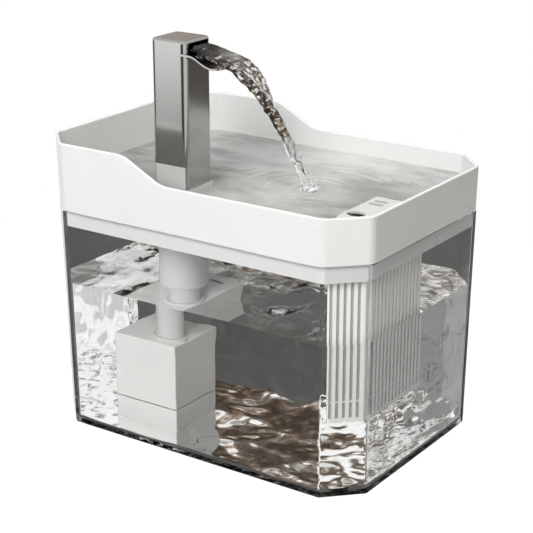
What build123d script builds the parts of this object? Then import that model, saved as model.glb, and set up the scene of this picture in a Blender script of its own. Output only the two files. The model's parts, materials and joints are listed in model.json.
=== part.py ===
"""Pet water fountain: a clear tank, a white drinking tray with a steel tap, a pump and a corner filter.

Millimetres, +Z up. The origin is on the table, under the middle of the tank. +X runs from the tap end
to the filter end and -Y is the long front side.
"""

from build123d import *
import math
import os

# ---- Tank -------------------------------------------------------------------------------------
tank_length = 220.0  # outside, at the rim
tank_width = 158.0
tank_height = 138.0  # table to rim
corner_cut = 20.0  # leg of the 45 degree corners
base_draft_x = 1.7  # how far each end comes in at the base
base_draft_y = 2.1
tank_wall = 2.8
tank_floor = 3.0
tank_edge_radius = 2.5
foot_height = 1.0
foot_radius = 6.0
foot_inset = 18.0
notch_x = -62.0  # the lead leaves over the back wall here
notch_width = 8.0
notch_depth = 8.0

# ---- Tray -------------------------------------------------------------------------------------
seam_chamfer = 0.5  # on the tray's lower outer edge, where it meets the tank
rim_radius = 0.8
high_rim = 178.8
low_rim = 165.1
rim_flare = 0.7  # the wall leans out by this much at the high rim
slope_start_x = -43.5
slope_end_x = -16.8
slope_radius = 18.0
tray_wall = 2.2
tray_edge_radius = 8.0
tray_floor_top = 142.0
tray_floor = 2.6
floor_fillet = 1.8
skirt_depth = 10.0
skirt_wall = 1.8
skirt_clearance = 0.4

# ---- Tap --------------------------------------------------------------------------------------
tap_x = -35.5
tap_y = -33.5
tap_size = 24.8
tap_top = 239.8
tap_wall = 1.2
tap_edge_radius = 3.4
tap_top_radius = 1.8
tap_socket_height = 9.0
tap_socket_clearance = 0.3
gasket_height = 1.2
gasket_margin = 0.3
window_side = 3.2  # post left standing each side of the window
window_top_gap = 1.4
spout_top = 232.4
spout_thickness = 1.0
spout_slit = 3.2  # how far the tongue is let into the column
spout_inner_reach = 6.0  # from the window's face to the tongue's inner end
spout_drop = 5.6
spout_reach = 24.5
spout_tip_radius = 2.5
duct_radius = 7.0
duct_bore = 5.0
duct_fit = 0.1
duct_head_height = 8.0
duct_head_clearance = 0.25
duct_foot_depth = 6.0

# ---- Riser ------------------------------------------------------------------------------------
spigot_radius = 11.0
spigot_depth = 12.0
sleeve_radius = 15.0
sleeve_end = 91.0
sleeve_fit = 0.1
sleeve_lip = 3.0  # wall below the seal groove
riser_radius = 9.5
riser_bore = 6.3
riser_top = 108.0
riser_gap = 0.35  # sleeve lip and cover to riser tube
seal_height = 3.0
seal_section = 2.0
seal_gap = 0.08

# ---- Pump box ---------------------------------------------------------------------------------
box_length = 45.8  # along X
box_width = 63.0
box_right_of_riser = 12.3
box_front_of_riser = 18.0
box_top = 60.5
box_seam = 19.2
box_seam_gap = 0.9
box_bottom = 4.6
box_wall = 1.8
box_edge_radius = 1.2
box_recess = 2.4  # height of the hollow under the base
grommet_radius = 12.0
grommet_height = 1.7
lead_slot_length = 15.0
lead_slot_width = 2.6
lead_slot_from_back = 8.0
intake_slot_width = 2.4
intake_slot_height = 5.5
intake_pitch = 5.0
lug_size = 3.0
lug_lap = 4.0
lug_clearance = 0.3
cup_radius = 5.5
cup_neck = 2.0
cup_inset = 8.5

# ---- Motor and rotor --------------------------------------------------------------------------
motor_width = 32.0  # along X
motor_depth = 30.0
motor_height = 32.0
motor_wall = 1.5
rotor_height = 32.0  # height of the turning axis
nozzle_offset = 10.5  # from the turning axis to the outlet nozzle
can_bore = 7.6
can_wall = 1.0
can_end_gap = 1.2
magnet_radius = 7.0
magnet_length = 19.0
shaft_radius = 1.2
shaft_clearance = 0.06
bush_radius = 2.6
bush_length = 3.0
impeller_radius = 9.6
impeller_hub = 4.0
impeller_width = 6.0
vane_count = 6
vane_thickness = 1.0
volute_bore = 12.2
volute_wall = 2.0
volute_depth = 13.0
volute_face = 2.0
eye_count = 8
eye_radius = 1.3
nozzle_radius = 6.0
nozzle_bore = 4.6
nozzle_top = 68.0
nozzle_fit = 0.1
core_radius = 14.2
core_length = 9.0
core_fit = 0.15
winding_radius = 13.0
winding_length = 4.0
gland_radius = 3.2
gland_length = 6.0
gland_bore = 1.8
foam_thickness = 3.6
foam_top = 30.0
foam_clearance = 0.4

# ---- Filter -----------------------------------------------------------------------------------
basket_bottom = 45.0
basket_gap = 2.5  # basket to the tank's inside
basket_face_run = 16.0  # X run of the face that follows the tank's cut corner
basket_back_y = 5.0
basket_left_x = 73.5
basket_edge_radius = 2.0
basket_wall = 1.6
basket_floor = 1.6
flange_width = 1.6
flange_height = 1.4
flange_clearance = 0.3
slot_pitch = 3.9
slot_width = 1.9
slot_margin = 1.2
slot_bottom_margin = 2.4
slot_top = 130.0
bottom_hole_radius = 1.5
bottom_hole_pitch = 6.0
drain_top = 154.0
drain_wall = 1.4
drain_side_length = 42.0  # straight run of the cover's inner side, from the back
drain_hole_x = 81.6
drain_hole_y = -30.7
drain_hole_length = 11.0
drain_hole_width = 9.0
drain_slots_x = 81.8
drain_slots_y = -6.6
drain_slot_length = 9.0
drain_slot_width = 3.4
drain_slot_spacing = 6.0
drain_post_radius = 2.0
drain_post_spacing = 34.0
cartridge_clearance = 0.4
cartridge_top = 134.0
plate_thickness = 1.6
post_radius = 1.8
felt_thickness = 2.6
carbon_gap = 0.3
foam_pad_height = 9.0
pad_clearance = 0.3

root_two = math.sqrt(2)
tan_22 = math.tan(math.radians(22.5))
floor_top = foot_height + tank_floor


def half_length(z):
    """Outside half length of the tank at height z."""
    return tank_length / 2 - base_draft_x * (tank_height - z) / (tank_height - foot_height)


def half_width(z):
    """Outside half width of the tank at height z."""
    return tank_width / 2 - base_draft_y * (tank_height - z) / (tank_height - foot_height)


def cut_corner_outline(z, length, width, cut, radius):
    """Rectangle at height z whose corners are cut at 45 degrees and then softened."""
    with BuildSketch(Plane.XY.offset(z)) as outline:
        Rectangle(length, width)
        chamfer(outline.vertices(), cut)
        fillet(outline.vertices(), radius)
    return outline.sketch


def tank_outline(z, inset, radius):
    """Section of the tank at height z, brought in by inset on every side."""
    length = 2 * (half_length(z) - inset)
    width = 2 * (half_width(z) - inset)
    return cut_corner_outline(z, length, width, corner_cut - 2 * inset * tan_22, radius)


def tray_outline(z, inset, radius):
    """Section of the tray's wall at height z; it leans out from the tank's size at the seam."""
    lean = rim_flare * (z - tank_height) / (high_rim - tank_height)
    length = tank_length + 2 * (lean - inset)
    width = tank_width + 2 * (lean - inset)
    return cut_corner_outline(z, length, width, corner_cut - 2 * inset * tan_22, radius)


def write(node, name):
    """Label a finished sub-part and write it to its own STEP file."""
    node.part.label = name
    export_step(node.part, f"parts/{name}.step")


os.makedirs("parts", exist_ok=True)

# ---- Tank -------------------------------------------------------------------------------------
with BuildPart() as water_tank:
    low_section = tank_outline(foot_height, 0, tank_edge_radius)
    high_section = tank_outline(tank_height, 0, tank_edge_radius)
    loft([low_section, high_section], ruled=True)
    fillet(water_tank.faces().sort_by(Axis.Z)[0].edges(), tank_edge_radius - 0.5)
    over_rim = tank_height + 1
    low_cavity = tank_outline(floor_top, tank_wall, tank_edge_radius)
    high_cavity = tank_outline(over_rim, tank_wall, tank_edge_radius)
    loft([low_cavity, high_cavity], ruled=True, mode=Mode.SUBTRACT)
    notch_y = half_width(tank_height) - tank_wall / 2
    with Locations((notch_x, notch_y, tank_height)):
        Box(notch_width, 4 * tank_wall, 2 * notch_depth, mode=Mode.SUBTRACT)
write(water_tank, "water_tank")

foot_x = half_length(foot_height) - foot_inset
foot_y = half_width(foot_height) - foot_inset
with BuildPart() as tank_feet:
    with GridLocations(2 * foot_x, 2 * foot_y, 2, 2):
        Cylinder(foot_radius, foot_height, align=(Align.CENTER, Align.CENTER, Align.MIN))
    chamfer(tank_feet.edges().group_by(Axis.Z)[0], foot_height / 3)
write(tank_feet, "tank_feet")

# ---- Filter outline, shared by the basket, its well, the drain cover and the cartridge ----------
basket_right = half_length(basket_bottom) - tank_wall - basket_gap
corner_line = half_length(basket_bottom) + half_width(basket_bottom) - corner_cut
corner_line = corner_line - root_two * (tank_wall + basket_gap)
basket_front_x = basket_right - basket_face_run
basket_corners = [
    (basket_front_x, basket_front_x - corner_line),
    (basket_right, basket_right - corner_line),
    (basket_right, basket_back_y),
    (basket_left_x, basket_back_y),
]
basket_mid_x = basket_right - (basket_right - basket_left_x) * 0.4
basket_mid_y = (basket_back_y + basket_corners[0][1]) / 2
drain_corners = basket_corners + [(basket_left_x, basket_back_y - drain_side_length)]


def basket_outline(z, grow, corners=basket_corners):
    """Section of the filter basket at height z, grown or shrunk evenly by grow."""
    with BuildSketch(Plane.XY.offset(z)) as outline:
        with BuildLine():
            Polyline(*corners, close=True)
        make_face()
        fillet(outline.vertices(), basket_edge_radius)
        if grow:
            offset(amount=grow)
    return outline.sketch


# ---- Tray -------------------------------------------------------------------------------------
seam = tank_height
floor_underside = tray_floor_top - tray_floor
skirt_bottom = tank_height - skirt_depth
skirt_inset = tank_wall + skirt_clearance
flange_outline_grow = flange_width + flange_clearance
tap_inside = tap_size - 2 * tap_wall
socket_size = tap_inside - 2 * tap_socket_clearance
socket_bore = duct_radius + duct_fit
spigot_bottom = floor_underside - spigot_depth

with BuildPart() as drinking_tray:
    loft([tray_outline(seam, 0, tray_edge_radius), tray_outline(high_rim, 0, tray_edge_radius)], ruled=True)
    chamfer(drinking_tray.faces().sort_by(Axis.Z)[0].edges(), seam_chamfer)
    with BuildSketch(Plane.XZ) as above_the_rim:
        with BuildLine():
            far_left = (-tank_length, high_rim)
            far_right = (tank_length, low_rim)
            FilletPolyline(
                far_left, (slope_start_x, high_rim), (slope_end_x, low_rim), far_right, radius=slope_radius
            )
            Polyline(far_right, (tank_length, high_rim + 20), (-tank_length, high_rim + 20), far_left)
        make_face()
    extrude(amount=tank_width, both=True, mode=Mode.SUBTRACT)
    basin_radius = tray_edge_radius - tray_wall
    low_basin = tray_outline(tray_floor_top, tray_wall, basin_radius)
    high_basin = tray_outline(high_rim + 1, tray_wall, basin_radius)
    loft([low_basin, high_basin], ruled=True, mode=Mode.SUBTRACT)
    basin_floor = drinking_tray.faces().filter_by(Plane.XY).group_by(Axis.Z)[1][0]
    fillet(basin_floor.edges(), floor_fillet)
    rim_faces = drinking_tray.faces().filter_by(lambda face: face.normal_at().Z > 0.5)
    rim_faces = rim_faces.filter_by(lambda face: face.center().Z > low_rim - 1)
    edges_on_top = [edge for face in rim_faces for edge in face.edges()]
    # an edge between two of the top faces is listed twice, and stays as it is
    rim_edges = [edge for edge in edges_on_top if sum(edge.is_same(other) for other in edges_on_top) == 1]
    fillet(rim_edges, rim_radius)
    # the skirt that drops inside the tank, and the hollow under the floor
    extrude(tank_outline(skirt_bottom, skirt_inset, tank_edge_radius), amount=skirt_depth + seam_chamfer)
    hollow = tank_outline(skirt_bottom, skirt_inset + skirt_wall, tank_edge_radius)
    extrude(hollow, amount=floor_underside - skirt_bottom, mode=Mode.SUBTRACT)
    # tap socket above the floor, spigot for the riser below it
    with BuildSketch(Plane.XY.offset(tray_floor_top)) as socket:
        with Locations((tap_x, tap_y)):
            RectangleRounded(socket_size, socket_size, tap_edge_radius - tap_wall)
    extrude(amount=tap_socket_height)
    with BuildSketch(Plane.XY.offset(floor_underside)) as spigot:
        with Locations((tap_x, tap_y)):
            Circle(spigot_radius)
    extrude(amount=-spigot_depth)
    with BuildSketch(Plane.XY.offset(tray_floor_top + tap_socket_height)) as water_way:
        with Locations((tap_x, tap_y)):
            Circle(socket_bore)
    extrude(amount=spigot_bottom - tray_floor_top - tap_socket_height, mode=Mode.SUBTRACT)
    # well for the filter basket, with a rebate for its flange
    extrude(basket_outline(spigot_bottom, flange_clearance), amount=tray_wall * 10, mode=Mode.SUBTRACT)
    rebate = basket_outline(tray_floor_top - flange_height, flange_outline_grow)
    extrude(rebate, amount=flange_height + 1, mode=Mode.SUBTRACT)
    # way for the lead through the skirt
    with Locations((notch_x, half_width(tank_height) - skirt_inset, skirt_bottom)):
        Box(notch_width, 3 * skirt_inset, 2 * skirt_depth - 0.4, mode=Mode.SUBTRACT)
write(drinking_tray, "drinking_tray")

# ---- Tap --------------------------------------------------------------------------------------
column_bottom = tray_floor_top + gasket_height
window_face = tap_x + tap_size / 2
tongue_top = spout_top
tongue_start = window_face - spout_inner_reach
tongue_tip = window_face + spout_reach
tongue_flat_end = window_face + 1.5
tongue_low_x = tongue_tip - spout_reach / 4
tongue_mid_x = (tongue_flat_end + tongue_low_x) / 2


def tongue_points(height):
    """Places that the tongue's curve goes through, from the flat at the window to the tip."""
    return [
        (tongue_flat_end, height),
        (tongue_mid_x, height - spout_drop * 0.52),
        (tongue_low_x, height - spout_drop),
        (tongue_tip, height - spout_drop * 0.88),
    ]


with BuildPart() as tap_column:
    with BuildSketch(Plane.XY.offset(column_bottom)) as column_section:
        with Locations((tap_x, tap_y)):
            RectangleRounded(tap_size, tap_size, tap_edge_radius)
    extrude(amount=tap_top - column_bottom)
    fillet(tap_column.faces().sort_by(Axis.Z)[-1].edges(), tap_top_radius)
    with BuildSketch(Plane.XY.offset(column_bottom)) as column_hollow:
        with Locations((tap_x, tap_y)):
            RectangleRounded(tap_inside, tap_inside, tap_edge_radius - tap_wall)
    extrude(amount=tap_top - tap_wall - column_bottom, mode=Mode.SUBTRACT)
    window_height = tap_top - window_top_gap - spout_top
    with Locations((window_face, tap_y, spout_top + window_height / 2)):
        Box(4 * tap_wall, tap_size - 2 * window_side, window_height, mode=Mode.SUBTRACT)
    with Locations((window_face - spout_slit, tap_y, spout_top - spout_thickness / 2)):
        slit_align = (Align.MIN, Align.CENTER, Align.CENTER)
        Box(2 * spout_slit, 2 * tap_size, spout_thickness, align=slit_align, mode=Mode.SUBTRACT)
write(tap_column, "tap_column")

with BuildPart() as tap_spout:
    with BuildSketch(Plane.XZ.offset(-tap_y)) as tongue_side:
        with BuildLine():
            upper = tongue_points(tongue_top)
            lower = tongue_points(tongue_top - spout_thickness)
            Line((tongue_start, tongue_top), upper[0])
            Spline(*upper, tangents=[(1, 0), (1, 0.12)])
            Line(upper[-1], lower[-1])
            Spline(*lower, tangents=[(1, 0), (1, 0.12)])
            Polyline(lower[0], (tongue_start, lower[0][1]), (tongue_start, tongue_top))
        make_face()
    extrude(amount=tap_size / 2, both=True)
    tip_edges = tap_spout.edges().filter_by(Axis.Z).group_by(Axis.X)[-1]
    fillet(tip_edges, spout_tip_radius)
    # inside the column the tongue is narrowed to fit between the walls
    shoulder_x = window_face - spout_slit
    shoulder_width = (tap_size - tap_inside) / 2 + duct_head_clearance
    shoulder_length = shoulder_x - tongue_start
    with Locations((tongue_start, tap_y - tap_size / 2, tongue_top), (tongue_start, tap_y + tap_size / 2, tongue_top)):
        shoulder_align = (Align.MIN, Align.CENTER, Align.CENTER)
        Box(shoulder_length, 2 * shoulder_width, 4 * spout_thickness, align=shoulder_align, mode=Mode.SUBTRACT)
write(tap_spout, "tap_spout")

duct_head_size = tap_inside - 2 * duct_head_clearance
duct_head_top = spout_top - spout_thickness
with BuildPart() as tap_duct:
    with Locations((tap_x, tap_y, tray_floor_top - duct_foot_depth)):
        duct_length = duct_head_top - tray_floor_top + duct_foot_depth
        duct_align = (Align.CENTER, Align.CENTER, Align.MIN)
        Cylinder(duct_radius, duct_length, align=duct_align)
    with BuildSketch(Plane.XY.offset(duct_head_top)) as duct_head:
        with Locations((tap_x, tap_y)):
            RectangleRounded(duct_head_size, duct_head_size, tap_edge_radius - tap_wall)
    extrude(amount=-duct_head_height)
    with Locations((tap_x, tap_y, tray_floor_top - duct_foot_depth)):
        Cylinder(duct_bore, duct_length, align=duct_align, mode=Mode.SUBTRACT)
    head_mouth = tap_duct.edges().filter_by(GeomType.CIRCLE).sort_by(Axis.Z)[-1]
    fillet(head_mouth, (duct_radius - duct_bore) / 2)
write(tap_duct, "tap_duct")

with BuildPart() as tap_gasket:
    with BuildSketch(Plane.XY.offset(tray_floor_top)) as gasket_ring:
        with Locations((tap_x, tap_y)):
            gasket_size = tap_size - 2 * gasket_margin
            RectangleRounded(gasket_size, gasket_size, tap_edge_radius)
            gasket_hole = socket_size + 2 * tap_socket_clearance
            RectangleRounded(gasket_hole, gasket_hole, tap_edge_radius - tap_wall, mode=Mode.SUBTRACT)
    extrude(amount=gasket_height)
write(tap_gasket, "tap_gasket")

# ---- Riser ------------------------------------------------------------------------------------
sleeve_length = floor_underside - sleeve_end
groove_bottom = sleeve_end + sleeve_lip
groove_radius = riser_radius + seal_gap + seal_section
with BuildPart() as riser_sleeve:
    with Locations((tap_x, tap_y, sleeve_end)):
        from_below = (Align.CENTER, Align.CENTER, Align.MIN)
        Cylinder(sleeve_radius, sleeve_length, align=from_below)
        Cylinder(riser_radius + riser_gap, sleeve_length, align=from_below, mode=Mode.SUBTRACT)
    with Locations((tap_x, tap_y, spigot_bottom)):
        Cylinder(spigot_radius + sleeve_fit, spigot_depth, align=from_below, mode=Mode.SUBTRACT)
    with Locations((tap_x, tap_y, groove_bottom)):
        Cylinder(groove_radius, seal_height, align=from_below, mode=Mode.SUBTRACT)
    chamfer(riser_sleeve.edges().filter_by(GeomType.CIRCLE).group_by(Axis.Z)[0].sort_by(SortBy.RADIUS)[-1], 0.8)
write(riser_sleeve, "riser_sleeve")

with BuildPart() as sleeve_seal:
    with Locations((tap_x, tap_y, groove_bottom)):
        Cylinder(groove_radius, seal_height, align=from_below)
        Cylinder(riser_radius + seal_gap, seal_height, align=from_below, mode=Mode.SUBTRACT)
write(sleeve_seal, "sleeve_seal")

# ---- Pump box ---------------------------------------------------------------------------------
box_right = tap_x + box_right_of_riser
box_left = box_right - box_length
box_front = tap_y - box_front_of_riser
box_back = box_front + box_width
box_x = (box_left + box_right) / 2
box_y = (box_front + box_back) / 2
inner_length = box_length - 2 * box_wall
inner_width = box_width - 2 * box_wall
cover_bottom = box_seam + box_seam_gap
cover_hole = riser_radius + riser_gap


def box_section(z, length, width, radius):
    """Rounded rectangle on the pump box's centre at height z."""
    with BuildSketch(Plane.XY.offset(z)) as section:
        with Locations((box_x, box_y)):
            RectangleRounded(length, width, radius)
    return section.sketch


with BuildPart() as riser_tube:
    riser_bottom = box_top - box_wall - 1
    with Locations((tap_x, tap_y, riser_bottom)):
        Cylinder(riser_radius, riser_top - riser_bottom, align=from_below)
        Cylinder(riser_bore, riser_top - riser_bottom, align=from_below, mode=Mode.SUBTRACT)
    tube_rims = riser_tube.edges().filter_by(GeomType.CIRCLE).group_by(Axis.Z)[-1]
    fillet(tube_rims, 0.6)
write(riser_tube, "riser_tube")

lug_reach = inner_length / 2 - lug_clearance - lug_size / 2
with BuildPart() as pump_cover:
    extrude(box_section(cover_bottom, box_length, box_width, box_edge_radius), amount=box_top - cover_bottom)
    fillet(pump_cover.faces().sort_by(Axis.Z)[-1].edges(), box_edge_radius - 0.4)
    cover_hollow = box_section(cover_bottom, inner_length, inner_width, box_edge_radius / 2)
    extrude(cover_hollow, amount=box_top - box_wall - cover_bottom, mode=Mode.SUBTRACT)
    with Locations((tap_x, tap_y, box_top - box_wall)):
        Cylinder(cover_hole, 4 * box_wall, mode=Mode.SUBTRACT)
    with BuildSketch(Plane.XY.offset(box_top)) as lead_slot:
        with Locations((box_x + box_length / 8, box_back - lead_slot_from_back)):
            SlotOverall(lead_slot_length, lead_slot_width)
    extrude(amount=-2 * box_wall, mode=Mode.SUBTRACT)
write(pump_cover, "pump_cover")

with BuildPart() as cover_grommet:
    with Locations((tap_x, tap_y, box_top)):
        Cylinder(grommet_radius, grommet_height, align=from_below)
        fillet(cover_grommet.edges().group_by(Axis.Z)[-1], grommet_height / 2)
        Cylinder(riser_radius + seal_gap, grommet_height, align=from_below, mode=Mode.SUBTRACT)
write(cover_grommet, "cover_grommet")

motor_front = tap_y + volute_depth / 2
motor_back = motor_front + motor_depth
motor_y = (motor_front + motor_back) / 2
motor_bottom = rotor_height - motor_height / 2
base_floor_bottom = box_bottom + box_recess
base_floor_top = base_floor_bottom + box_wall
cup_x = box_length / 2 - cup_inset
cup_y = box_width / 2 - cup_inset
axis_x = tap_x - nozzle_offset
with BuildPart() as pump_base:
    extrude(box_section(box_bottom, box_length, box_width, box_edge_radius), amount=box_seam - box_bottom)
    base_hollow = box_section(base_floor_top, inner_length, inner_width, box_edge_radius / 2)
    extrude(base_hollow, amount=box_seam - base_floor_top, mode=Mode.SUBTRACT)
    under_hollow = box_section(box_bottom, inner_length, inner_width, box_edge_radius / 2)
    extrude(under_hollow, amount=box_recess, mode=Mode.SUBTRACT)
    # four lugs stand up inside the cover and keep it in place
    lug_y = inner_width / 2 - lug_clearance - lug_size / 2
    lug_height = box_seam + lug_lap - base_floor_top
    with Locations((box_x, box_y, base_floor_top)):
        with GridLocations(2 * lug_reach, 2 * lug_y, 2, 2):
            Box(lug_size, lug_size, lug_height, align=from_below)
    # cradle under the motor
    with Locations((axis_x, motor_y, base_floor_top)):
        with GridLocations(motor_width - 6, motor_depth - 6, 2, 2):
            Box(4, 4, motor_bottom - base_floor_top, align=from_below)
    # water comes in through slots in the back and left walls
    slot_z = (base_floor_top + box_seam) / 2
    back_slots = int((inner_length - 8) / intake_pitch)
    with Locations((box_x, box_back - box_wall / 2, slot_z)):
        with GridLocations(intake_pitch, 0, back_slots, 1):
            Box(intake_slot_width, 2 * box_wall, intake_slot_height, mode=Mode.SUBTRACT)
    side_slots = int((inner_width - 12) / intake_pitch)
    with Locations((box_left + box_wall / 2, box_y, slot_z)):
        with GridLocations(0, intake_pitch, 1, side_slots):
            Box(2 * box_wall, intake_slot_width, intake_slot_height, mode=Mode.SUBTRACT)
    with Locations((box_x, box_y, base_floor_bottom)):
        with GridLocations(2 * cup_x, 2 * cup_y, 2, 2):
            Cylinder(cup_neck, 2 * box_wall + 1, mode=Mode.SUBTRACT)
write(pump_base, "pump_base")

with BuildPart() as suction_cups:
    with BuildSketch(Plane.XZ) as cup_side:
        with BuildLine():
            cup_floor = floor_top + 0.05
            Polyline(
                (0, base_floor_top),
                (cup_neck - 0.05, base_floor_top),
                (cup_neck - 0.05, base_floor_bottom - 0.05),
                (cup_radius, cup_floor + 0.4),
                (cup_radius, cup_floor),
                (0, base_floor_bottom - 1.2),
                (0, base_floor_top),
            )
        make_face()
    revolve(axis=Axis.Z)
    one_cup = suction_cups.part
with BuildPart() as cup_set:
    with Locations((box_x, box_y, 0)):
        with GridLocations(2 * cup_x, 2 * cup_y, 2, 2):
            add(one_cup)
write(cup_set, "suction_cups")

with BuildPart() as pump_prefilter:
    outer_foam = box_section(
        base_floor_top, inner_length - 2 * foam_clearance, inner_width - 2 * foam_clearance, box_edge_radius / 2
    )
    foam_inset = 2 * (foam_clearance + foam_thickness)
    inner_foam = box_section(base_floor_top, inner_length - foam_inset, inner_width - foam_inset, 1)
    extrude(outer_foam, amount=foam_top - base_floor_top)
    extrude(inner_foam, amount=foam_top - base_floor_top, mode=Mode.SUBTRACT)
    with Locations((box_x, box_y, base_floor_top)):
        with GridLocations(2 * lug_reach, 2 * lug_y, 2, 2):
            lug_relief = lug_size + 2 * lug_clearance
            Box(lug_relief, lug_relief, lug_height + lug_clearance, align=from_below, mode=Mode.SUBTRACT)
write(pump_prefilter, "pump_prefilter")

# ---- Motor and rotor --------------------------------------------------------------------------
# Everything here turns on, or surrounds, an axis along Y through (axis_x, rotor_height).
axis_plane = Plane(origin=(axis_x, 0, rotor_height), x_dir=(1, 0, 0), z_dir=(0, 1, 0))


def turned(start_y, length, outer, inner=0.0):
    """Ring or disc about the turning axis, from start_y to start_y + length."""
    with BuildPart(axis_plane.offset(start_y)) as ring:
        Cylinder(outer, length, align=from_below)
        if inner:
            Cylinder(inner, length, align=from_below, mode=Mode.SUBTRACT)
    return ring.part


can_outer = can_bore + can_wall
can_length = bush_length + can_end_gap + magnet_length + 1.5
can_end = motor_front + can_length
shaft_start = tap_y - volute_depth / 2 + volute_face / 2
shaft_end = can_end - 0.2
with BuildPart() as motor_housing:
    with Locations((axis_x, motor_y, motor_bottom)):
        Box(motor_width, motor_depth, motor_height, align=from_below)
    fillet(motor_housing.edges().filter_by(Axis.Y), 3)
    with Locations((axis_x, motor_y, rotor_height)):
        Box(
            motor_width - 2 * motor_wall,
            motor_depth - 2 * motor_wall,
            motor_height - 2 * motor_wall,
            mode=Mode.SUBTRACT,
        )
    add(turned(motor_front, can_length + can_wall, can_outer))
    add(turned(motor_front, can_length, can_bore), mode=Mode.SUBTRACT)
    with BuildSketch(Plane.XZ.offset(-motor_back)) as gland_hole:
        with Locations((axis_x, rotor_height + motor_height / 4)):
            Circle(gland_radius)
    extrude(amount=2 * motor_wall, both=True, mode=Mode.SUBTRACT)
write(motor_housing, "motor_housing")

core_start = motor_front + (can_length - core_length) / 2
with BuildPart() as stator_core:
    add(turned(core_start, core_length, core_radius, can_outer + core_fit))
write(stator_core, "stator_core")

with BuildPart() as stator_windings:
    add(turned(core_start - winding_length, winding_length, winding_radius, can_outer + core_fit))
    add(turned(core_start + core_length, winding_length, winding_radius, can_outer + core_fit))
write(stator_windings, "stator_windings")

gland_plane = Plane(
    origin=(axis_x, motor_back - motor_wall, rotor_height + motor_height / 4), x_dir=(1, 0, 0), z_dir=(0, 1, 0)
)
with BuildPart(gland_plane) as cord_gland:
    Cylinder(gland_radius, gland_length, align=from_below)
    with Locations((0, 0, gland_length / 2)):
        Cylinder(gland_bore, gland_length, align=from_below, mode=Mode.SUBTRACT)
write(cord_gland, "cord_gland")

volute_start = tap_y - volute_depth / 2
with BuildPart() as pump_volute:
    add(turned(volute_start, volute_depth, volute_bore + volute_wall))
    with Locations((tap_x, tap_y, rotor_height)):
        Cylinder(nozzle_radius, nozzle_top - rotor_height, align=from_below)
    add(turned(volute_start + volute_face, volute_depth - volute_face, volute_bore), mode=Mode.SUBTRACT)
    with Locations((tap_x, tap_y, rotor_height)):
        Cylinder(nozzle_bore, nozzle_top - rotor_height, align=from_below, mode=Mode.SUBTRACT)
    with BuildSketch(axis_plane.offset(volute_start)) as eye:
        with PolarLocations(bush_radius + 2 * eye_radius, eye_count):
            Circle(eye_radius)
    extrude(amount=volute_face, mode=Mode.SUBTRACT)
    add(turned(volute_start + volute_face, bush_length - 1, bush_radius + 1))
    add(turned(volute_start + volute_face - 1, bush_length, bush_radius), mode=Mode.SUBTRACT)
write(pump_volute, "pump_volute")

front_bush_y = volute_start + volute_face - 1
back_bush_y = can_end - bush_length
with BuildPart() as shaft_bushes:
    add(turned(front_bush_y, bush_length, bush_radius, shaft_radius))
    add(turned(back_bush_y, bush_length, bush_radius, shaft_radius))
write(shaft_bushes, "shaft_bushes")

with BuildPart() as rotor_shaft:
    add(turned(front_bush_y, back_bush_y + bush_length - front_bush_y, shaft_radius))
write(rotor_shaft, "rotor_shaft")

magnet_start = motor_front + 1.0
impeller_start = front_bush_y + bush_length + 0.5
with BuildPart() as impeller:
    add(turned(impeller_start, magnet_start - impeller_start, impeller_hub, shaft_radius + shaft_clearance))
    back_disc = magnet_start - 1.4
    disc_start = back_disc - 1.0
    add(turned(disc_start, 1.0, impeller_radius, shaft_radius + shaft_clearance))
    with BuildSketch(axis_plane.offset(impeller_start + 0.4)) as vanes:
        vane_length = impeller_radius - impeller_hub + 0.5
        with PolarLocations((impeller_radius + impeller_hub - 0.5) / 2, vane_count):
            Rectangle(vane_length, vane_thickness)
    extrude(amount=disc_start - impeller_start - 0.4)
write(impeller, "impeller")

with BuildPart() as rotor_magnet:
    add(turned(magnet_start, magnet_length, magnet_radius, shaft_radius + shaft_clearance))
    chamfer(rotor_magnet.edges().filter_by(GeomType.CIRCLE).sort_by(SortBy.RADIUS)[-2:], 0.5)
write(rotor_magnet, "rotor_magnet")

# ---- Filter -----------------------------------------------------------------------------------
flange_bottom = tray_floor_top - flange_height
inside_floor = basket_bottom + basket_floor
slot_bottom = basket_bottom + slot_bottom_margin


def side_slots_along(start, end):
    """Places of the upright slots along one side of the basket, each turned to face it."""
    along = Vector(end[0] - start[0], end[1] - start[1], 0)
    usable = along.length - 2 * slot_margin - 2 * basket_edge_radius
    count = int(usable / slot_pitch) + 1
    turn = math.degrees(math.atan2(along.Y, along.X))
    middle = (Vector(*start, 0) + Vector(*end, 0)) * 0.5
    places = []
    for number in range(count):
        step = (number - (count - 1) / 2) * slot_pitch
        spot = middle + along.normalized() * step
        places.append(Location((spot.X, spot.Y, slot_bottom), (0, 0, turn)))
    return places


slot_places = []
for corner in range(len(basket_corners)):
    slot_places += side_slots_along(basket_corners[corner - 1], basket_corners[corner])

with BuildPart() as filter_basket:
    extrude(basket_outline(basket_bottom, 0), amount=tray_floor_top - basket_bottom)
    extrude(basket_outline(flange_bottom, flange_width), amount=flange_height)
    inside = basket_outline(inside_floor, -basket_wall)
    extrude(inside, amount=tray_floor_top - inside_floor, mode=Mode.SUBTRACT)
    with Locations(*slot_places):
        Box(slot_width, 4 * basket_wall, slot_top - slot_bottom, align=from_below, mode=Mode.SUBTRACT)
    with Locations((basket_mid_x, basket_mid_y, basket_bottom)):
        with GridLocations(bottom_hole_pitch, bottom_hole_pitch, 3, 6):
            Cylinder(bottom_hole_radius, 4 * basket_floor, mode=Mode.SUBTRACT)
write(filter_basket, "filter_basket")

pad_top = inside_floor + foam_pad_height
with BuildPart() as basket_foam:
    extrude(basket_outline(inside_floor, -basket_wall - pad_clearance), amount=foam_pad_height)
write(basket_foam, "basket_foam")

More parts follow.
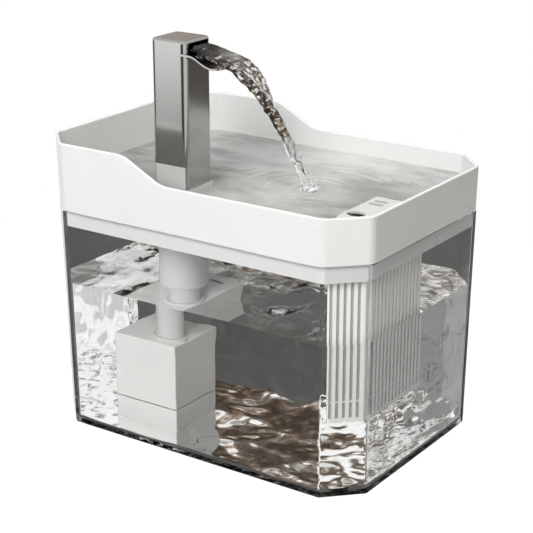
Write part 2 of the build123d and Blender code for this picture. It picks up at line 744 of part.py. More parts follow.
cartridge_inset = basket_wall + cartridge_clearance
frame_bottom = pad_top + 0.3
core_bottom = frame_bottom + plate_thickness
plate_bottom = cartridge_top - plate_thickness
window_inset = cartridge_inset + felt_thickness + carbon_gap + 3
post_inset = cartridge_inset + felt_thickness + 2 * carbon_gap + post_radius + 0.8
frame_posts = [(corner.X, corner.Y) for corner in basket_outline(0, -post_inset).vertices()]

with BuildPart() as cartridge_frame:
    extrude(basket_outline(frame_bottom, -cartridge_inset), amount=plate_thickness)
    extrude(basket_outline(plate_bottom, -cartridge_inset), amount=plate_thickness)
    opening = basket_outline(plate_bottom, -window_inset)
    extrude(opening, amount=plate_thickness, mode=Mode.SUBTRACT)
    with Locations((basket_mid_x, basket_mid_y, frame_bottom)):
        with GridLocations(bottom_hole_pitch, bottom_hole_pitch, 3, 6):
            Cylinder(bottom_hole_radius, 4 * plate_thickness, mode=Mode.SUBTRACT)
    with BuildSketch(Plane.XY.offset(core_bottom)) as posts:
        with Locations(*frame_posts):
            Circle(post_radius)
    extrude(amount=plate_bottom - core_bottom)
write(cartridge_frame, "cartridge_frame")

with BuildPart() as filter_felt:
    extrude(basket_outline(core_bottom, -cartridge_inset), amount=plate_bottom - core_bottom)
    felt_inside = basket_outline(core_bottom, -cartridge_inset - felt_thickness)
    extrude(felt_inside, amount=plate_bottom - core_bottom, mode=Mode.SUBTRACT)
write(filter_felt, "filter_felt")

with BuildPart() as filter_carbon:
    carbon_inset = cartridge_inset + felt_thickness + carbon_gap
    extrude(basket_outline(core_bottom, -carbon_inset), amount=plate_bottom - core_bottom)
    with BuildSketch(Plane.XY.offset(core_bottom)) as post_holes:
        with Locations(*frame_posts):
            Circle(post_radius + carbon_gap)
    extrude(amount=plate_bottom - core_bottom, mode=Mode.SUBTRACT)
write(filter_carbon, "filter_carbon")

with BuildPart() as drain_cover:
    extrude(basket_outline(tray_floor_top, 0, drain_corners), amount=drain_top - tray_floor_top)
    fillet(drain_cover.faces().sort_by(Axis.Z)[-1].edges(), 1.2)
    cover_inside = basket_outline(tray_floor_top, -drain_wall, drain_corners)
    extrude(cover_inside, amount=drain_top - drain_wall - tray_floor_top, mode=Mode.SUBTRACT)
    with BuildSketch(Plane.XY.offset(drain_top)) as drain_slots:
        with Locations((drain_hole_x, drain_hole_y)):
            Ellipse(drain_hole_length / 2, drain_hole_width / 2)
        with Locations((drain_slots_x, drain_slots_y)):
            with GridLocations(0, drain_slot_spacing, 1, 2):
                SlotOverall(drain_slot_length, drain_slot_width)
    extrude(amount=-2 * drain_wall, mode=Mode.SUBTRACT)
    # two legs stand on the cartridge's top plate, to which they are clipped
    with Locations((basket_right - cartridge_inset - 1.5 * drain_post_radius, basket_mid_y + 8, cartridge_top)):
        with GridLocations(0, drain_post_spacing, 1, 2):
            Cylinder(drain_post_radius, drain_top - drain_wall - cartridge_top, align=from_below)
write(drain_cover, "drain_cover")
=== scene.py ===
"""Looks of a pet water fountain, built round its CAD frame.

A clear tank holds the pump and the filter, a white tray closes it, and water runs from a square steel
tap into the tray. Metres, +Z up, and -Y is the long front side.
"""

import json
import logging
import math
import random
from dataclasses import astuple, dataclass, field
from enum import Enum
from typing import Any, Sequence

import bmesh
import bpy
from mathutils import Matrix, Vector, noise

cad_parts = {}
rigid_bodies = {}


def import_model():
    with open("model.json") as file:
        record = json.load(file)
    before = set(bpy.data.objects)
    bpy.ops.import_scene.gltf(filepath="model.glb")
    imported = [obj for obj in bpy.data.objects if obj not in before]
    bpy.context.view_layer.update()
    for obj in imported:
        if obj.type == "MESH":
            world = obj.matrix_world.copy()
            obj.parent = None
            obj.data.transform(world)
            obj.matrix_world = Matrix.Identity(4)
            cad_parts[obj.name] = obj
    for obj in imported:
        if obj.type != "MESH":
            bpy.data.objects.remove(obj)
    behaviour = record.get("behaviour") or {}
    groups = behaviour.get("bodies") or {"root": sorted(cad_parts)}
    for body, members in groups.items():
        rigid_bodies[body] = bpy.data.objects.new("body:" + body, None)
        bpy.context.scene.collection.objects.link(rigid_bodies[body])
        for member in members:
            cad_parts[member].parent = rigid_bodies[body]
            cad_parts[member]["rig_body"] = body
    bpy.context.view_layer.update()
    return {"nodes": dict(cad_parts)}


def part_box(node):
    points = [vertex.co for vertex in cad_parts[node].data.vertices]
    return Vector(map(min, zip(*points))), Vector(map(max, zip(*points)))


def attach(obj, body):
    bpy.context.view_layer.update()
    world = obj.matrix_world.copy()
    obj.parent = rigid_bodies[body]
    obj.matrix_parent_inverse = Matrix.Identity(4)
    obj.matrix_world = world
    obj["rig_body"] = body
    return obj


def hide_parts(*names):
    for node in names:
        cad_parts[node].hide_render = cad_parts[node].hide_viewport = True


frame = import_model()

log = logging.getLogger("fountain")

Colour = tuple[float, float, float]
Point = tuple[float, float, float]
Span = tuple[float, float]
Material = bpy.types.Material
Mesh = bmesh.types.BMesh

MM = 0.001
FRAME_PIXELS = 533
# Height of the tank's rim, where the tray closes it.
TANK_RIM = 0.1379
# Where the stream lands, seen from above.
LANDING = (34.5 * MM, -5.4 * MM)
# Points nearer than this are one point.
TOUCHING = 0.000001
# Edges that turn by more radians stay sharp: on most pieces, round ones, water and the stream.
CRISP, ROUND, WET, ROPED = 0.5, 0.6, 0.9, 1.2
# Cycles per metre of the noise in clouds of shade, stains, wear and specks.
CLOUDS, STAINS, WEAR, SPECKS = 34.0, 26.0, 90.0, 260.0


# ---- Shader expressions


@dataclass(frozen=True)
class Wire:
    """A socket that can stand in a Python expression; each operator adds the Math node for it."""

    graph: "Graph"
    socket: bpy.types.NodeSocket

    def _math(self, operation: str, first: Any, second: Any = 0.0, clamp: bool = False) -> "Wire":
        """Adds a Math node.

        Args:
            operation: the Math node's operation.
            first: its first value or wire.
            second: its second value or wire.
            clamp: whether the result is held between 0 and 1.

        Returns:
            The node's result.
        """
        inputs = {0: first, 1: second}
        return self.graph.node("ShaderNodeMath", inputs, operation=operation, use_clamp=clamp)

    def __add__(self, other: Any) -> "Wire":
        """self + other."""
        return self._math("ADD", self, other)

    __radd__ = __add__

    def __sub__(self, other: Any) -> "Wire":
        """self - other."""
        return self._math("SUBTRACT", self, other)

    def __rsub__(self, other: Any) -> "Wire":
        """other - self."""
        return self._math("SUBTRACT", other, self)

    def __mul__(self, other: Any) -> "Wire":
        """self * other."""
        return self._math("MULTIPLY", self, other)

    __rmul__ = __mul__

    def sine(self) -> "Wire":
        """Sine of self, in radians."""
        return self._math("SINE", self)

    def larger(self, other: Any) -> "Wire":
        """The larger of self and other."""
        return self._math("MAXIMUM", self, other)

    def over(self, other: Any) -> "Wire":
        """1 where self is more than other, and 0 elsewhere."""
        return self._math("GREATER_THAN", self, other)

    def clamped(self) -> "Wire":
        """self, held between 0 and 1."""
        return self._math("ADD", self, 0.0, clamp=True)


class Graph:
    """The nodes of one material or world."""

    def __init__(self, owner: Material | bpy.types.World) -> None:
        """Empties the owner's node tree and keeps it."""
        owner.use_nodes = True
        self.tree = owner.node_tree
        self.tree.nodes.clear()

    def node(self, kind: str, inputs: dict[Any, Any], output: Any = 0, **settings: Any) -> Wire:
        """Adds any node.

        Args:
            kind: the node's type, such as "ShaderNodeTexNoise".
            inputs: a value or a Wire for each socket, by its name or number.
            output: which output the returned wire stands for.
            settings: its own properties, which are set first.

        Returns:
            A wire on that output.
        """
        made = self.tree.nodes.new(kind)
        for name, value in settings.items():
            setattr(made, name, value)
        for name, value in inputs.items():
            socket = made.inputs[name]
            if isinstance(value, Wire):
                self.tree.links.new(value.socket, socket)
            elif isinstance(value, tuple) and socket.type == "RGBA":
                socket.default_value = (*value[:3], 1.0)
            else:
                socket.default_value = value
        return Wire(self, made.outputs[output])

    def ramp(self, stops: Sequence[tuple[float, Colour]], value: Wire) -> Wire:
        """The colour that value finds in a row of stops, each a place and a colour."""
        made = self.node("ShaderNodeValToRGB", {0: value})
        elements = made.socket.node.color_ramp.elements
        while len(elements) < len(stops):
            elements.new(1.0)
        for element, (place, colour) in zip(elements, stops):
            element.position = place
            element.color = (*colour, 1.0)
        return made

    def axis(self, vector: Wire, number: int) -> Wire:
        """One part of a vector: 0 is X, 1 is Y and 2 is Z."""
        return self.node("ShaderNodeSeparateXYZ", {0: vector}, number)

    def ray(self, kind: str) -> Wire:
        """What is known of the ray that meets the surface, such as "Is Camera Ray"."""
        return self.node("ShaderNodeLightPath", {}, kind)

    def place(self, scale: Point = (1.0, 1.0, 1.0), turn: Point = (0.0, 0.0, 0.0)) -> Wire:
        """Object coordinates, scaled and turned."""
        here = self.node("ShaderNodeTexCoord", {}, "Object")
        return self.node("ShaderNodeMapping", {"Vector": here, "Scale": scale, "Rotation": turn})

    def grain(self, where: Wire, scale: float, detail: float = 4.0, roughness: float = 0.5) -> Wire:
        """Noise between 0 and 1.

        Args:
            where: the coordinates that it reads.
            scale: cycles per unit.
            detail: octaves.
            roughness: how strong the finer octaves are.

        Returns:
            The noise.
        """
        sockets = {"Vector": where, "Scale": scale, "Detail": detail, "Roughness": roughness}
        return self.node("ShaderNodeTexNoise", sockets)

    def mix(self, low: Any, high: Any, share: Any) -> Wire:
        """A colour between low and high, by share."""
        return self.node("ShaderNodeMix", {0: share, 6: low, 7: high}, 2, data_type="RGBA")

    def blend(self, value: Wire, start: float, end: float, soft: bool = True) -> Wire:
        """0 where value is at start, 1 where it is at end, and soft or straight between them."""
        kind = "SMOOTHSTEP" if soft else "LINEAR"
        sockets = {"Value": value, "From Min": start, "From Max": end}
        return self.node("ShaderNodeMapRange", sockets, interpolation_type=kind, clamp=True)

    def bump(self, height: Wire, strength: float, distance: float) -> Wire:
        """A normal that height lifts by up to distance."""
        sockets = {"Strength": strength, "Distance": distance, "Height": height}
        return self.node("ShaderNodeBump", sockets)

    def finish(self, surface: Wire) -> None:
        """Joins the shader to the output."""
        world = surface.socket.node.type == "BACKGROUND"
        made = self.tree.nodes.new("ShaderNodeOutputWorld" if world else "ShaderNodeOutputMaterial")
        self.tree.links.new(surface.socket, made.inputs["Surface"])


# ---- Finishes


class Texture(Enum):
    """How the surface of a moulded or formed piece is finished."""

    POLISHED = "polished"
    SATIN = "satin"
    GRAINED = "grained"
    FIBROUS = "fibrous"
    CELLULAR = "cellular"


@dataclass(frozen=True)
class Finish:
    """What every finish has.

    Attributes:
        name: the material's name.
        colour: its colour or tint, linear.
    """

    name: str
    colour: Colour

    def build(self) -> Material:
        """Makes the material.

        Returns:
            The material.
        """
        material = bpy.data.materials.new(self.name)
        graph = Graph(material)
        graph.finish(self.shader(graph))
        return material

    def shader(self, graph: Graph) -> Wire:
        """The shader, which each kind of finish makes in its own way."""
        raise NotImplementedError


@dataclass(frozen=True)
class Plastic(Finish):
    """An opaque finish: cloudy shade variation, a surface grain and, where asked, painted shade below
    the tank's rim.

    Attributes:
        roughness: its mean roughness.
        texture: the kind of surface grain.
        cloud: how far the shade wanders.
        dust: colour of what gathers on faces that look up.
        dusting: how much of that there is.
        painted_shade_below_rim: share of the colour that is left below the tank's rim; this is painted
            shade for the tray's shadow on what hangs inside the tank.
    """

    roughness: float = 0.35
    texture: Texture = Texture.SATIN
    cloud: float = 0.05
    dust: Colour = (0.62, 0.60, 0.56)
    dusting: float = 0.04
    painted_shade_below_rim: float = 1.0

    def shader(self, graph: Graph) -> Wire:
        """Colour, wear and grain in one shader."""
        here = graph.place()
        shade = tuple(c * (1.0 - self.cloud) for c in self.colour)
        colour = graph.mix(shade, self.colour, graph.grain(here, CLOUDS, 3.0))
        # Painted shade: below the tank's rim, where the tray shades them, the pieces get a darker
        # colour.
        if self.painted_shade_below_rim < 1.0:
            shaded_below_rim = graph.blend(graph.axis(here, 2), TANK_RIM, TANK_RIM - 0.0004)
            colour = graph.mix(colour, tuple(c * self.painted_shade_below_rim for c in self.colour), shaded_below_rim)
        facing = graph.node("ShaderNodeNewGeometry", {}, "Normal")
        specks = graph.grain(here, SPECKS, 5.0, 0.7)
        settled = graph.axis(facing, 2).clamped() * specks * self.dusting * 2.0
        colour = graph.mix(colour, self.dust, settled.clamped())
        worn = (graph.grain(here, WEAR, 4.0) - 0.5) * 0.14
        rough = self.roughness + worn + settled * 0.6
        height, depth = self._relief(graph, here)
        normal = graph.bump(height, 0.35, depth)
        sockets = {"Base Color": colour, "Roughness": rough.clamped(), "Normal": normal, "IOR": 1.5}
        return graph.node("ShaderNodeBsdfPrincipled", sockets)

    def _relief(self, graph: Graph, here: Wire) -> tuple[Wire, float]:
        """The height that the bump reads, and its depth in metres."""
        if self.texture is Texture.POLISHED:
            return graph.grain(here, 45.0, 2.0), 0.00006
        if self.texture is Texture.SATIN:
            return graph.grain(here, 900.0, 3.0, 0.6) * 0.4 + graph.grain(here, 50.0, 2.0), 0.00005
        if self.texture is Texture.GRAINED:
            return graph.grain(here, 1500.0, 4.0, 0.7), 0.00009
        if self.texture is Texture.FIBROUS:
            return graph.grain(graph.place((1.0, 1.0, 0.25)), 1800.0, 6.0, 0.75), 0.0006
        cells = graph.node("ShaderNodeTexVoronoi", {"Vector": here, "Scale": 900.0})
        return cells, 0.0009


@dataclass(frozen=True)
class Metal(Finish):
    """A metal finish with lines left by brushing or turning, and a painted reflection low on its
    front.

    Attributes:
        roughness: its mean roughness.
        stretch: scale of the lines along X, Y and Z; the smallest is the way they run.
        lines: how strongly they show.
        painted_reflection_top: height below which the front carries a painted reflection, a pale
            patch, in metres, or 0.
        painted_reflection_front: from where to where along Y the painted reflection sets in.
        pale: the colour of the painted reflection.
    """

    roughness: float = 0.22
    stretch: Point = (900.0, 900.0, 14.0)
    lines: float = 0.25
    painted_reflection_top: float = 0.0
    painted_reflection_front: Span = (-0.0450, -0.0456)
    pale: Colour = (0.84, 0.84, 0.83)

    def shader(self, graph: Graph) -> Wire:
        """Brushed metal with a painted reflection: a pale, less metallic patch low on the front stands
        in for the bright water in front of its foot that it would mirror.
        """
        brushed = graph.grain(graph.place(self.stretch), 1.0, 5.0, 0.6)
        stains = graph.grain(graph.place(), STAINS, 4.0, 0.6)
        dark = tuple(c * 0.86 for c in self.colour)
        colour = graph.mix(dark, self.colour, (brushed * 0.6 + stains * 0.5).clamped())
        rough = self.roughness + (brushed - 0.5) * 0.10 + (stains - 0.5) * 0.08
        normal = graph.bump(brushed, self.lines, 0.00003)
        metallic: float | Wire = 1.0
        # Painted reflection: the pale patch low on the front stands in for the water that the steel
        # would mirror there.
        if self.painted_reflection_top:
            depth, height = (graph.axis(graph.place(), number) for number in (1, 2))
            low = graph.blend(height, self.painted_reflection_top, self.painted_reflection_top - 0.0005)
            pale = low * graph.blend(depth, *self.painted_reflection_front)
            colour = graph.mix(colour, self.pale, pale * (stains * 0.5 + 0.7).clamped())
            metallic = 1.0 - pale * 0.7
        sockets = {"Base Color": colour, "Roughness": rough.clamped(), "Normal": normal}
        return graph.node("ShaderNodeBsdfPrincipled", {**sockets, "Metallic": metallic})


@dataclass(frozen=True)
class Clear(Finish):
    """A see-through finish that lamps shine through.

    Attributes:
        ior: its index of refraction.
        ripple: depth of the waves on its surface, in metres.
        ripple_scale: waves per metre.
        shade: how much of a lamp's light passes.
    """

    ior: float
    ripple: float
    ripple_scale: float
    shade: float = 1.0

    def shader(self, graph: Graph) -> Wire:
        """A refracting skin, which lets the light of lamps straight through."""
        sockets = {
            "Base Color": self.tint(graph),
            "Roughness": 0.0,
            "IOR": self.ior,
            "Transmission Weight": 1.0,
            "Normal": graph.bump(self.waves(graph), 1.0, self.ripple),
        }
        body = graph.node("ShaderNodeBsdfPrincipled", sockets)
        passed = tuple(c * self.shade for c in self.colour)
        lit = graph.node("ShaderNodeBsdfTransparent", {"Color": passed})
        return graph.node("ShaderNodeMixShader", {0: graph.ray("Is Shadow Ray"), 1: body, 2: lit})

    def tint(self, graph: Graph) -> Colour | Wire:
        """The colour of what shows through, plain unless a finish varies it."""
        return self.colour

    def waves(self, graph: Graph) -> Wire:
        """The height that the bump reads."""
        return graph.grain(graph.place(), self.ripple_scale, 2.5, 0.45)


@dataclass(frozen=True)
class Moulded(Clear):
    """A clear moulded wall with an uneven foot.

    Attributes:
        foot: height below which the foot is uneven, in metres.
        foot_scale: waves per metre there.
        unevenness: how much deeper they are.
    """

    foot: float = 0.005
    foot_scale: float = 190.0
    unevenness: float = 24.0

    def waves(self, graph: Graph) -> Wire:
        """Slow waves on the walls and finer, deeper ones at the foot."""
        here = graph.place()
        low = graph.blend(graph.axis(here, 2), self.foot, self.foot * 0.8)
        return super().waves(graph) + graph.grain(here, self.foot_scale, 2.0) * low * self.unevenness


@dataclass(frozen=True)
class Deep(Clear):
    """Deep water, whose skin is more broken at one end.

    Attributes:
        broken: how much deeper the waves are at that end.
        broken_end: from where to where along X they deepen.
    """

    broken: float = 1.4
    broken_end: Span = (0.035, 0.09)

    def waves(self, graph: Graph) -> Wire:
        """Waves that grow along the tank."""
        here = graph.place()
        swell = graph.grain(here, self.ripple_scale, 1.2, 0.4)
        return swell * (graph.blend(graph.axis(here, 0), *self.broken_end) * self.broken + 1.0)


@dataclass(frozen=True)
class Rippled(Clear):
    """Shallow moving water with painted shade: broad grey bands wander through it, and a darker patch
    beside the tap is a painted shadow and reflection of the tap.

    Attributes:
        painted_band_shade: the tint in the darkest bands, painted shade.
        rings: how close the rings round it lie, in radians per metre.
        ring_reach: how far out they have died away, and where they are full.
        tap_shade_middle: middle of the painted shadow and reflection of the tap.
        tap_shade_reach: how far out that painted shade ends, and where it is full.
        shade_lifting: from where to where along X the painted shade lightens.
        shade_returning: from where to where along X the painted shade darkens a little again.
    """

    painted_band_shade: Colour = (0.10, 0.10, 0.098)
    rings: float = 820.0
    ring_reach: Span = (0.075, 0.008)
    tap_shade_middle: Point = (-0.012, 0.004, 0.0)
    tap_shade_reach: Span = (0.045, 0.010)
    shade_lifting: Span = (-0.065, 0.03)
    shade_returning: Span = (0.02, 0.08)

    def waves(self, graph: Graph) -> Wire:
        """Fine rings that run out from the landing place, over slow waves."""
        away = self.distance(graph, (*LANDING, 0.0))
        wander = graph.grain(graph.place((1.0, 1.0, 0.0)), 30.0, 2.0) * 9.0
        crest = (away * self.rings + wander).sine() * graph.blend(away, *self.ring_reach)
        return super().waves(graph) + crest * 0.9

    @staticmethod
    def distance(graph: Graph, point: Point) -> Wire:
        """How far off a point is, seen from above."""
        sockets = {0: graph.place((1.0, 1.0, 0.0)), 1: point}
        return graph.node("ShaderNodeVectorMath", sockets, "Value", operation="DISTANCE")

    def tint(self, graph: Graph) -> Wire:
        """Painted shade: clear between the bands, grey in them, lighter along X, a little greyer again
        further on, and darker beside the tap.
        """
        along = graph.axis(graph.place(), 0)
        drift = graph.grain(graph.place(), 24.0, 2.0)
        bands = graph.grain(graph.place((0.45, 1.0, 0.0), (0.0, 0.0, 0.5)), 62.0, 2.0)
        # The grey bands, the change along X and the patch beside the tap are painted shade: they stand
        # in for the dark room that the ripples would reflect and for the tap's shadow and reflection.
        level = graph.blend(bands * 0.65 + drift * 0.35, 0.36, 0.60) * 0.5
        level = level + graph.blend(along, *self.shade_lifting) * 0.5
        level = level - graph.blend(along, *self.shade_returning) * 0.3
        level = level - graph.blend(self.distance(graph, self.tap_shade_middle), *self.tap_shade_reach) * 0.18
        return graph.mix(self.painted_band_shade, self.colour, level.clamped())


@dataclass(frozen=True)
class Ropy(Clear):
    """Falling water: a painted shadow under the outlet, then brown and black beads that are a painted
    reflection of the room, then clear.

    Attributes:
        shadow: the tint under the outlet.
        outlet: from where to where along X that darkens.
        bead: the tint of a bead, a painted reflection.
        belt_start: from where to where along X the beads set in.
        belt_height: from which height up to which they thicken.
    """

    shadow: Colour = (0.012, 0.011, 0.010)
    outlet: Span = (0.001, -0.012)
    bead: Colour = (0.10, 0.060, 0.034)
    belt_start: Span = (-0.006, 0.001)
    belt_height: Span = (0.164, 0.204)

    def tint(self, graph: Graph) -> Wire:
        """Clear water with its painted dark start and its painted beads."""
        here = graph.place()
        along, height = graph.axis(here, 0), graph.axis(here, 2)
        ridge = graph.node("ShaderNodeAttribute", {}, "Fac", attribute_name="ridge")
        glints = graph.grain(here, 170.0, 2.0)
        near = graph.blend(along, *self.outlet) * graph.blend(glints, 0.64, 0.55)
        beads = graph.grain(here, 400.0, 1.0, 0.4)
        belt = graph.blend(height, *self.belt_height) * graph.blend(along, *self.belt_start)
        # The beads are a painted reflection: brown and black, for the room that the stream would
        # mirror.
        stops = (
            (0.38, (0.014, 0.011, 0.009)),
            (0.43, self.bead),
            (0.50, tuple(c * 3.0 for c in self.bead)),
            (0.53, self.colour),
        )
        level = beads + (1.0 - graph.blend(ridge, 0.30, 0.62)) * 0.3 + (1.0 - belt) * 0.4
        return graph.mix(graph.ramp(stops, level), self.shadow, near)


def entry(finish: Finish) -> Any:
    """A palette entry, whose material is made with the palette."""
    return field(default_factory=finish.build)


@dataclass(frozen=True)
class Palette:
    """Every finish of the fountain, made once."""

    # The white carries painted shade below the tank's rim.
    white: Material = entry(Plastic("white_satin", (0.88, 0.88, 0.87), 0.30, dusting=0.02, painted_shade_below_rim=0.80))
    shell: Material = entry(Plastic("shell_white", (0.66, 0.66, 0.65), 0.35, dusting=0.05))
    chalk: Material = entry(
        Plastic("white_matte", (0.95, 0.945, 0.93), 0.5, Texture.GRAINED, dusting=0.02)
    )
    dark: Material = entry(Plastic("dark_plastic", (0.022, 0.022, 0.024), 0.42, Texture.GRAINED, 0.3))
    rubber: Material = entry(Plastic("silicone", (0.62, 0.62, 0.60), 0.55, Texture.SATIN, 0.12))
    foam: Material = entry(Plastic("open_foam", (0.05, 0.05, 0.052), 0.9, Texture.CELLULAR, 0.5))
    filter_foam: Material = entry(
        Plastic("filter_foam", (0.60, 0.59, 0.57), 0.9, Texture.CELLULAR, 0.2)
    )
    felt: Material = entry(Plastic("needle_felt", (0.60, 0.59, 0.57), 0.92, Texture.FIBROUS, 0.14))
    carbon: Material = entry(
        Plastic("carbon_granules", (0.02, 0.02, 0.021), 0.6, Texture.CELLULAR, 0.5)
    )
    ferrite: Material = entry(Plastic("ferrite", (0.05, 0.05, 0.055), 0.45, Texture.GRAINED, 0.3))
    # The steel carries a painted reflection low on its front.
    steel: Material = entry(Metal("brushed_steel", (0.44, 0.435, 0.425), 0.18, painted_reflection_top=0.1668))
    laminated: Material = entry(
        Metal("laminations", (0.30, 0.29, 0.28), 0.45, (30.0, 2200.0, 30.0), 0.8)
    )
    copper: Material = entry(Metal("windings", (0.72, 0.34, 0.16), 0.3, (60.0, 1600.0, 60.0), 0.9))
    ground: Material = entry(
        Metal("ground_shaft", (0.66, 0.66, 0.65), 0.16, (300.0, 1500.0, 300.0), 0.2)
    )
    acrylic: Material = entry(Moulded("clear_wall", (0.99, 0.995, 0.994), 1.15, 0.00002, 30.0))
    still_water: Material = entry(Deep("tank_water", (0.985, 0.99, 0.985), 1.333, 0.0006, 55.0))
    moving_water: Material = entry(
        Rippled("running_water", (0.80, 0.805, 0.80), 1.333, 0.00015, 110.0, shade=0.95)
    )
    falling_water: Material = entry(Ropy("falling_water", (0.99, 0.995, 0.995), 1.333, 0.0001, 170.0))
    froth: Material = entry(Plastic("froth", (0.95, 0.955, 0.955), 0.2, Texture.POLISHED, 0.1))


# ---- Mesh tools


def to_object(mesh: Mesh, name: str, material: Material, limit: float = math.pi) -> bpy.types.Object:
    """Turns a finished bmesh into an object at the origin.

    Args:
        mesh: the bmesh, which is freed.
        name: the piece's name.
        material: its finish.
        limit: edges that turn by more than this, in radians, stay sharp.

    Returns:
        The object, linked to the scene and shaded smooth elsewhere.
    """
    for face in mesh.faces:
        face.smooth = True
    for edge in mesh.edges:
        edge.smooth = len(edge.link_faces) == 2 and edge.calc_face_angle(math.pi) <= limit
    data = bpy.data.meshes.new(name)
    mesh.to_mesh(data)
    mesh.free()
    data.materials.append(material)
    made = bpy.data.objects.new(name, data)
    bpy.context.scene.collection.objects.link(made)
    log.info("%s: %d faces", name, len(data.polygons))
    return made


def refine(finishes: dict[str, Material], limit: float = CRISP) -> None:
    """Makes clean copies of CAD nodes, welded and smoothly shaded, which stand for them.

    Args:
        finishes: the material for each node's copy, which rides on the node's body.
        limit: edges that turn by more than this, in radians, stay sharp.
    """
    for node, material in finishes.items():
        source = frame["nodes"][node]
        mesh = bmesh.new()
        mesh.from_mesh(source.data)
        bmesh.ops.remove_doubles(mesh, verts=mesh.verts, dist=2 * TOUCHING)
        bmesh.ops.dissolve_degenerate(mesh, edges=mesh.edges, dist=TOUCHING)
        made = to_object(mesh, f"{node}_finished", material, limit)
        weighted = made.modifiers.new("even_normals", "WEIGHTED_NORMAL")
        weighted.keep_sharp = True
        weighted.weight = 100
        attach(made, source["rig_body"])
        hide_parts(node)


def cut(mesh: Mesh, point: Point, normal: Point, clear: bool) -> None:
    """Cuts the whole mesh along a plane.

    Args:
        mesh: what is cut.
        point: a point on the plane.
        normal: the plane's normal.
        clear: whether what lies on the normal's side goes.
    """
    geometry = mesh.verts[:] + mesh.edges[:] + mesh.faces[:]
    bmesh.ops.bisect_plane(
        mesh, geom=geometry, dist=TOUCHING, plane_co=point, plane_no=normal, clear_outer=clear
    )


def punch(mesh: Mesh, corners: Sequence[Span]) -> None:
    """Takes a convex hole, given by its corners, anticlockwise, out of a level grid."""
    sides = []
    for start, end in zip(corners, [*corners[1:], corners[0]]):
        along = Vector((end[0] - start[0], end[1] - start[1], 0)).normalized()
        sides.append((Vector((*start, 0)), Vector((along.y, -along.x, 0))))
    for point, outward in sides:
        cut(mesh, point, outward, False)

    def inside(face: bmesh.types.BMFace) -> bool:
        """Whether a face's middle lies inside every side."""
        middle = face.calc_center_median()
        flat = Vector((middle.x, middle.y, 0))
        return all((flat - point).dot(outward) < 0 for point, outward in sides)

    bmesh.ops.delete(mesh, geom=[face for face in mesh.faces if inside(face)], context="FACES")


# ---- Water


@dataclass
class Pool:
    """Water that fills a basin with cut corners, up to a wavy top.

    Attributes:
        material: its finish.
        surface: height of its top.
        floor: height of its underside.
        half_x: half its length.
        half_y: half its width.
        leg: how much of each side a cut corner takes.
        step: the size of the cells of its top.
    """

    material: Material
    surface: float
    floor: float
    half_x: float
    half_y: float
    leg: float
    step: float

    def sheet(self) -> Mesh:
        """A level sheet of square cells at the surface, its corners cut off at 45 degrees."""
        mesh = bmesh.new()
        size = Matrix.Diagonal((self.half_x, self.half_y, 1, 1))
        fit = Matrix.Translation((0, 0, self.surface)) @ size
        cells_x, cells_y = (round(2 * half / self.step) for half in (self.half_x, self.half_y))
        bmesh.ops.create_grid(mesh, x_segments=cells_x, y_segments=cells_y, size=1.0, matrix=fit)
        for side_x in (-1, 1):
            for side_y in (-1, 1):
                point = (side_x * (self.half_x - self.leg), side_y * self.half_y, 0)
                cut(mesh, point, (side_x, side_y, 0), True)
        return mesh

    def sink(self, mesh: Mesh) -> set[bmesh.types.BMVert]:
        """Draws the sheet down to the floor and returns the points down there."""
        below = bmesh.ops.extrude_face_region(mesh, geom=mesh.faces[:])["geom"]
        lowered = {item for item in below if isinstance(item, bmesh.types.BMVert)}
        bmesh.ops.translate(mesh, verts=list(lowered), vec=(0, 0, self.floor - self.surface))
        return lowered


@dataclass
class TankWater(Pool):
    """The water in the tank, with a rippled underside.

    Attributes:
        draft_x: how much nearer each end is at the floor.
        draft_y: how much nearer each side is there.
    """

    surface: float = 92.0 * MM
    floor: float = 4.25 * MM
    half_x: float = 106.35 * MM
    half_y: float = 75.0 * MM
    leg: float = 18.5 * MM
    step: float = 1.6 * MM
    draft_x: float = 1.05 * MM
    draft_y: float = 1.30 * MM

    def top_wave(self, x: float, y: float) -> float:
        """Height of the top surface above its level at a place."""
        swell = noise.noise(Vector((x * 16, y * 16, 3.1))) * 1.1
        chop = noise.noise(Vector((x * 60, y * 60, 7.7))) * 0.35
        return (swell + chop) * MM

    def floor_wave(self, x: float, y: float) -> float:
        """Height of the underside above the tank's floor at a place."""
        slow = noise.noise(Vector((x * 40, y * 30, 11.0)))
        fine = noise.noise(Vector((x * 95, y * 70, 5.0)))
        return (1.2 + 1.1 * slow + 0.35 * fine) * MM

    def build(self) -> None:
        """Makes the block of water, which rides on the tank."""
        mesh = self.sheet()
        lowered = self.sink(mesh)
        shrink_x = (self.half_x - self.draft_x) / self.half_x
        shrink_y = (self.half_y - self.draft_y) / self.half_y
        bmesh.ops.scale(mesh, verts=list(lowered), vec=(shrink_x, shrink_y, 1))
        for vert in mesh.verts:
            wave = self.floor_wave if vert in lowered else self.top_wave
            vert.co.z += wave(vert.co.x, vert.co.y)
        bmesh.ops.recalc_face_normals(mesh, faces=mesh.faces)
        made = to_object(mesh, "tank_water", self.material, WET)
        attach(made, "tank")


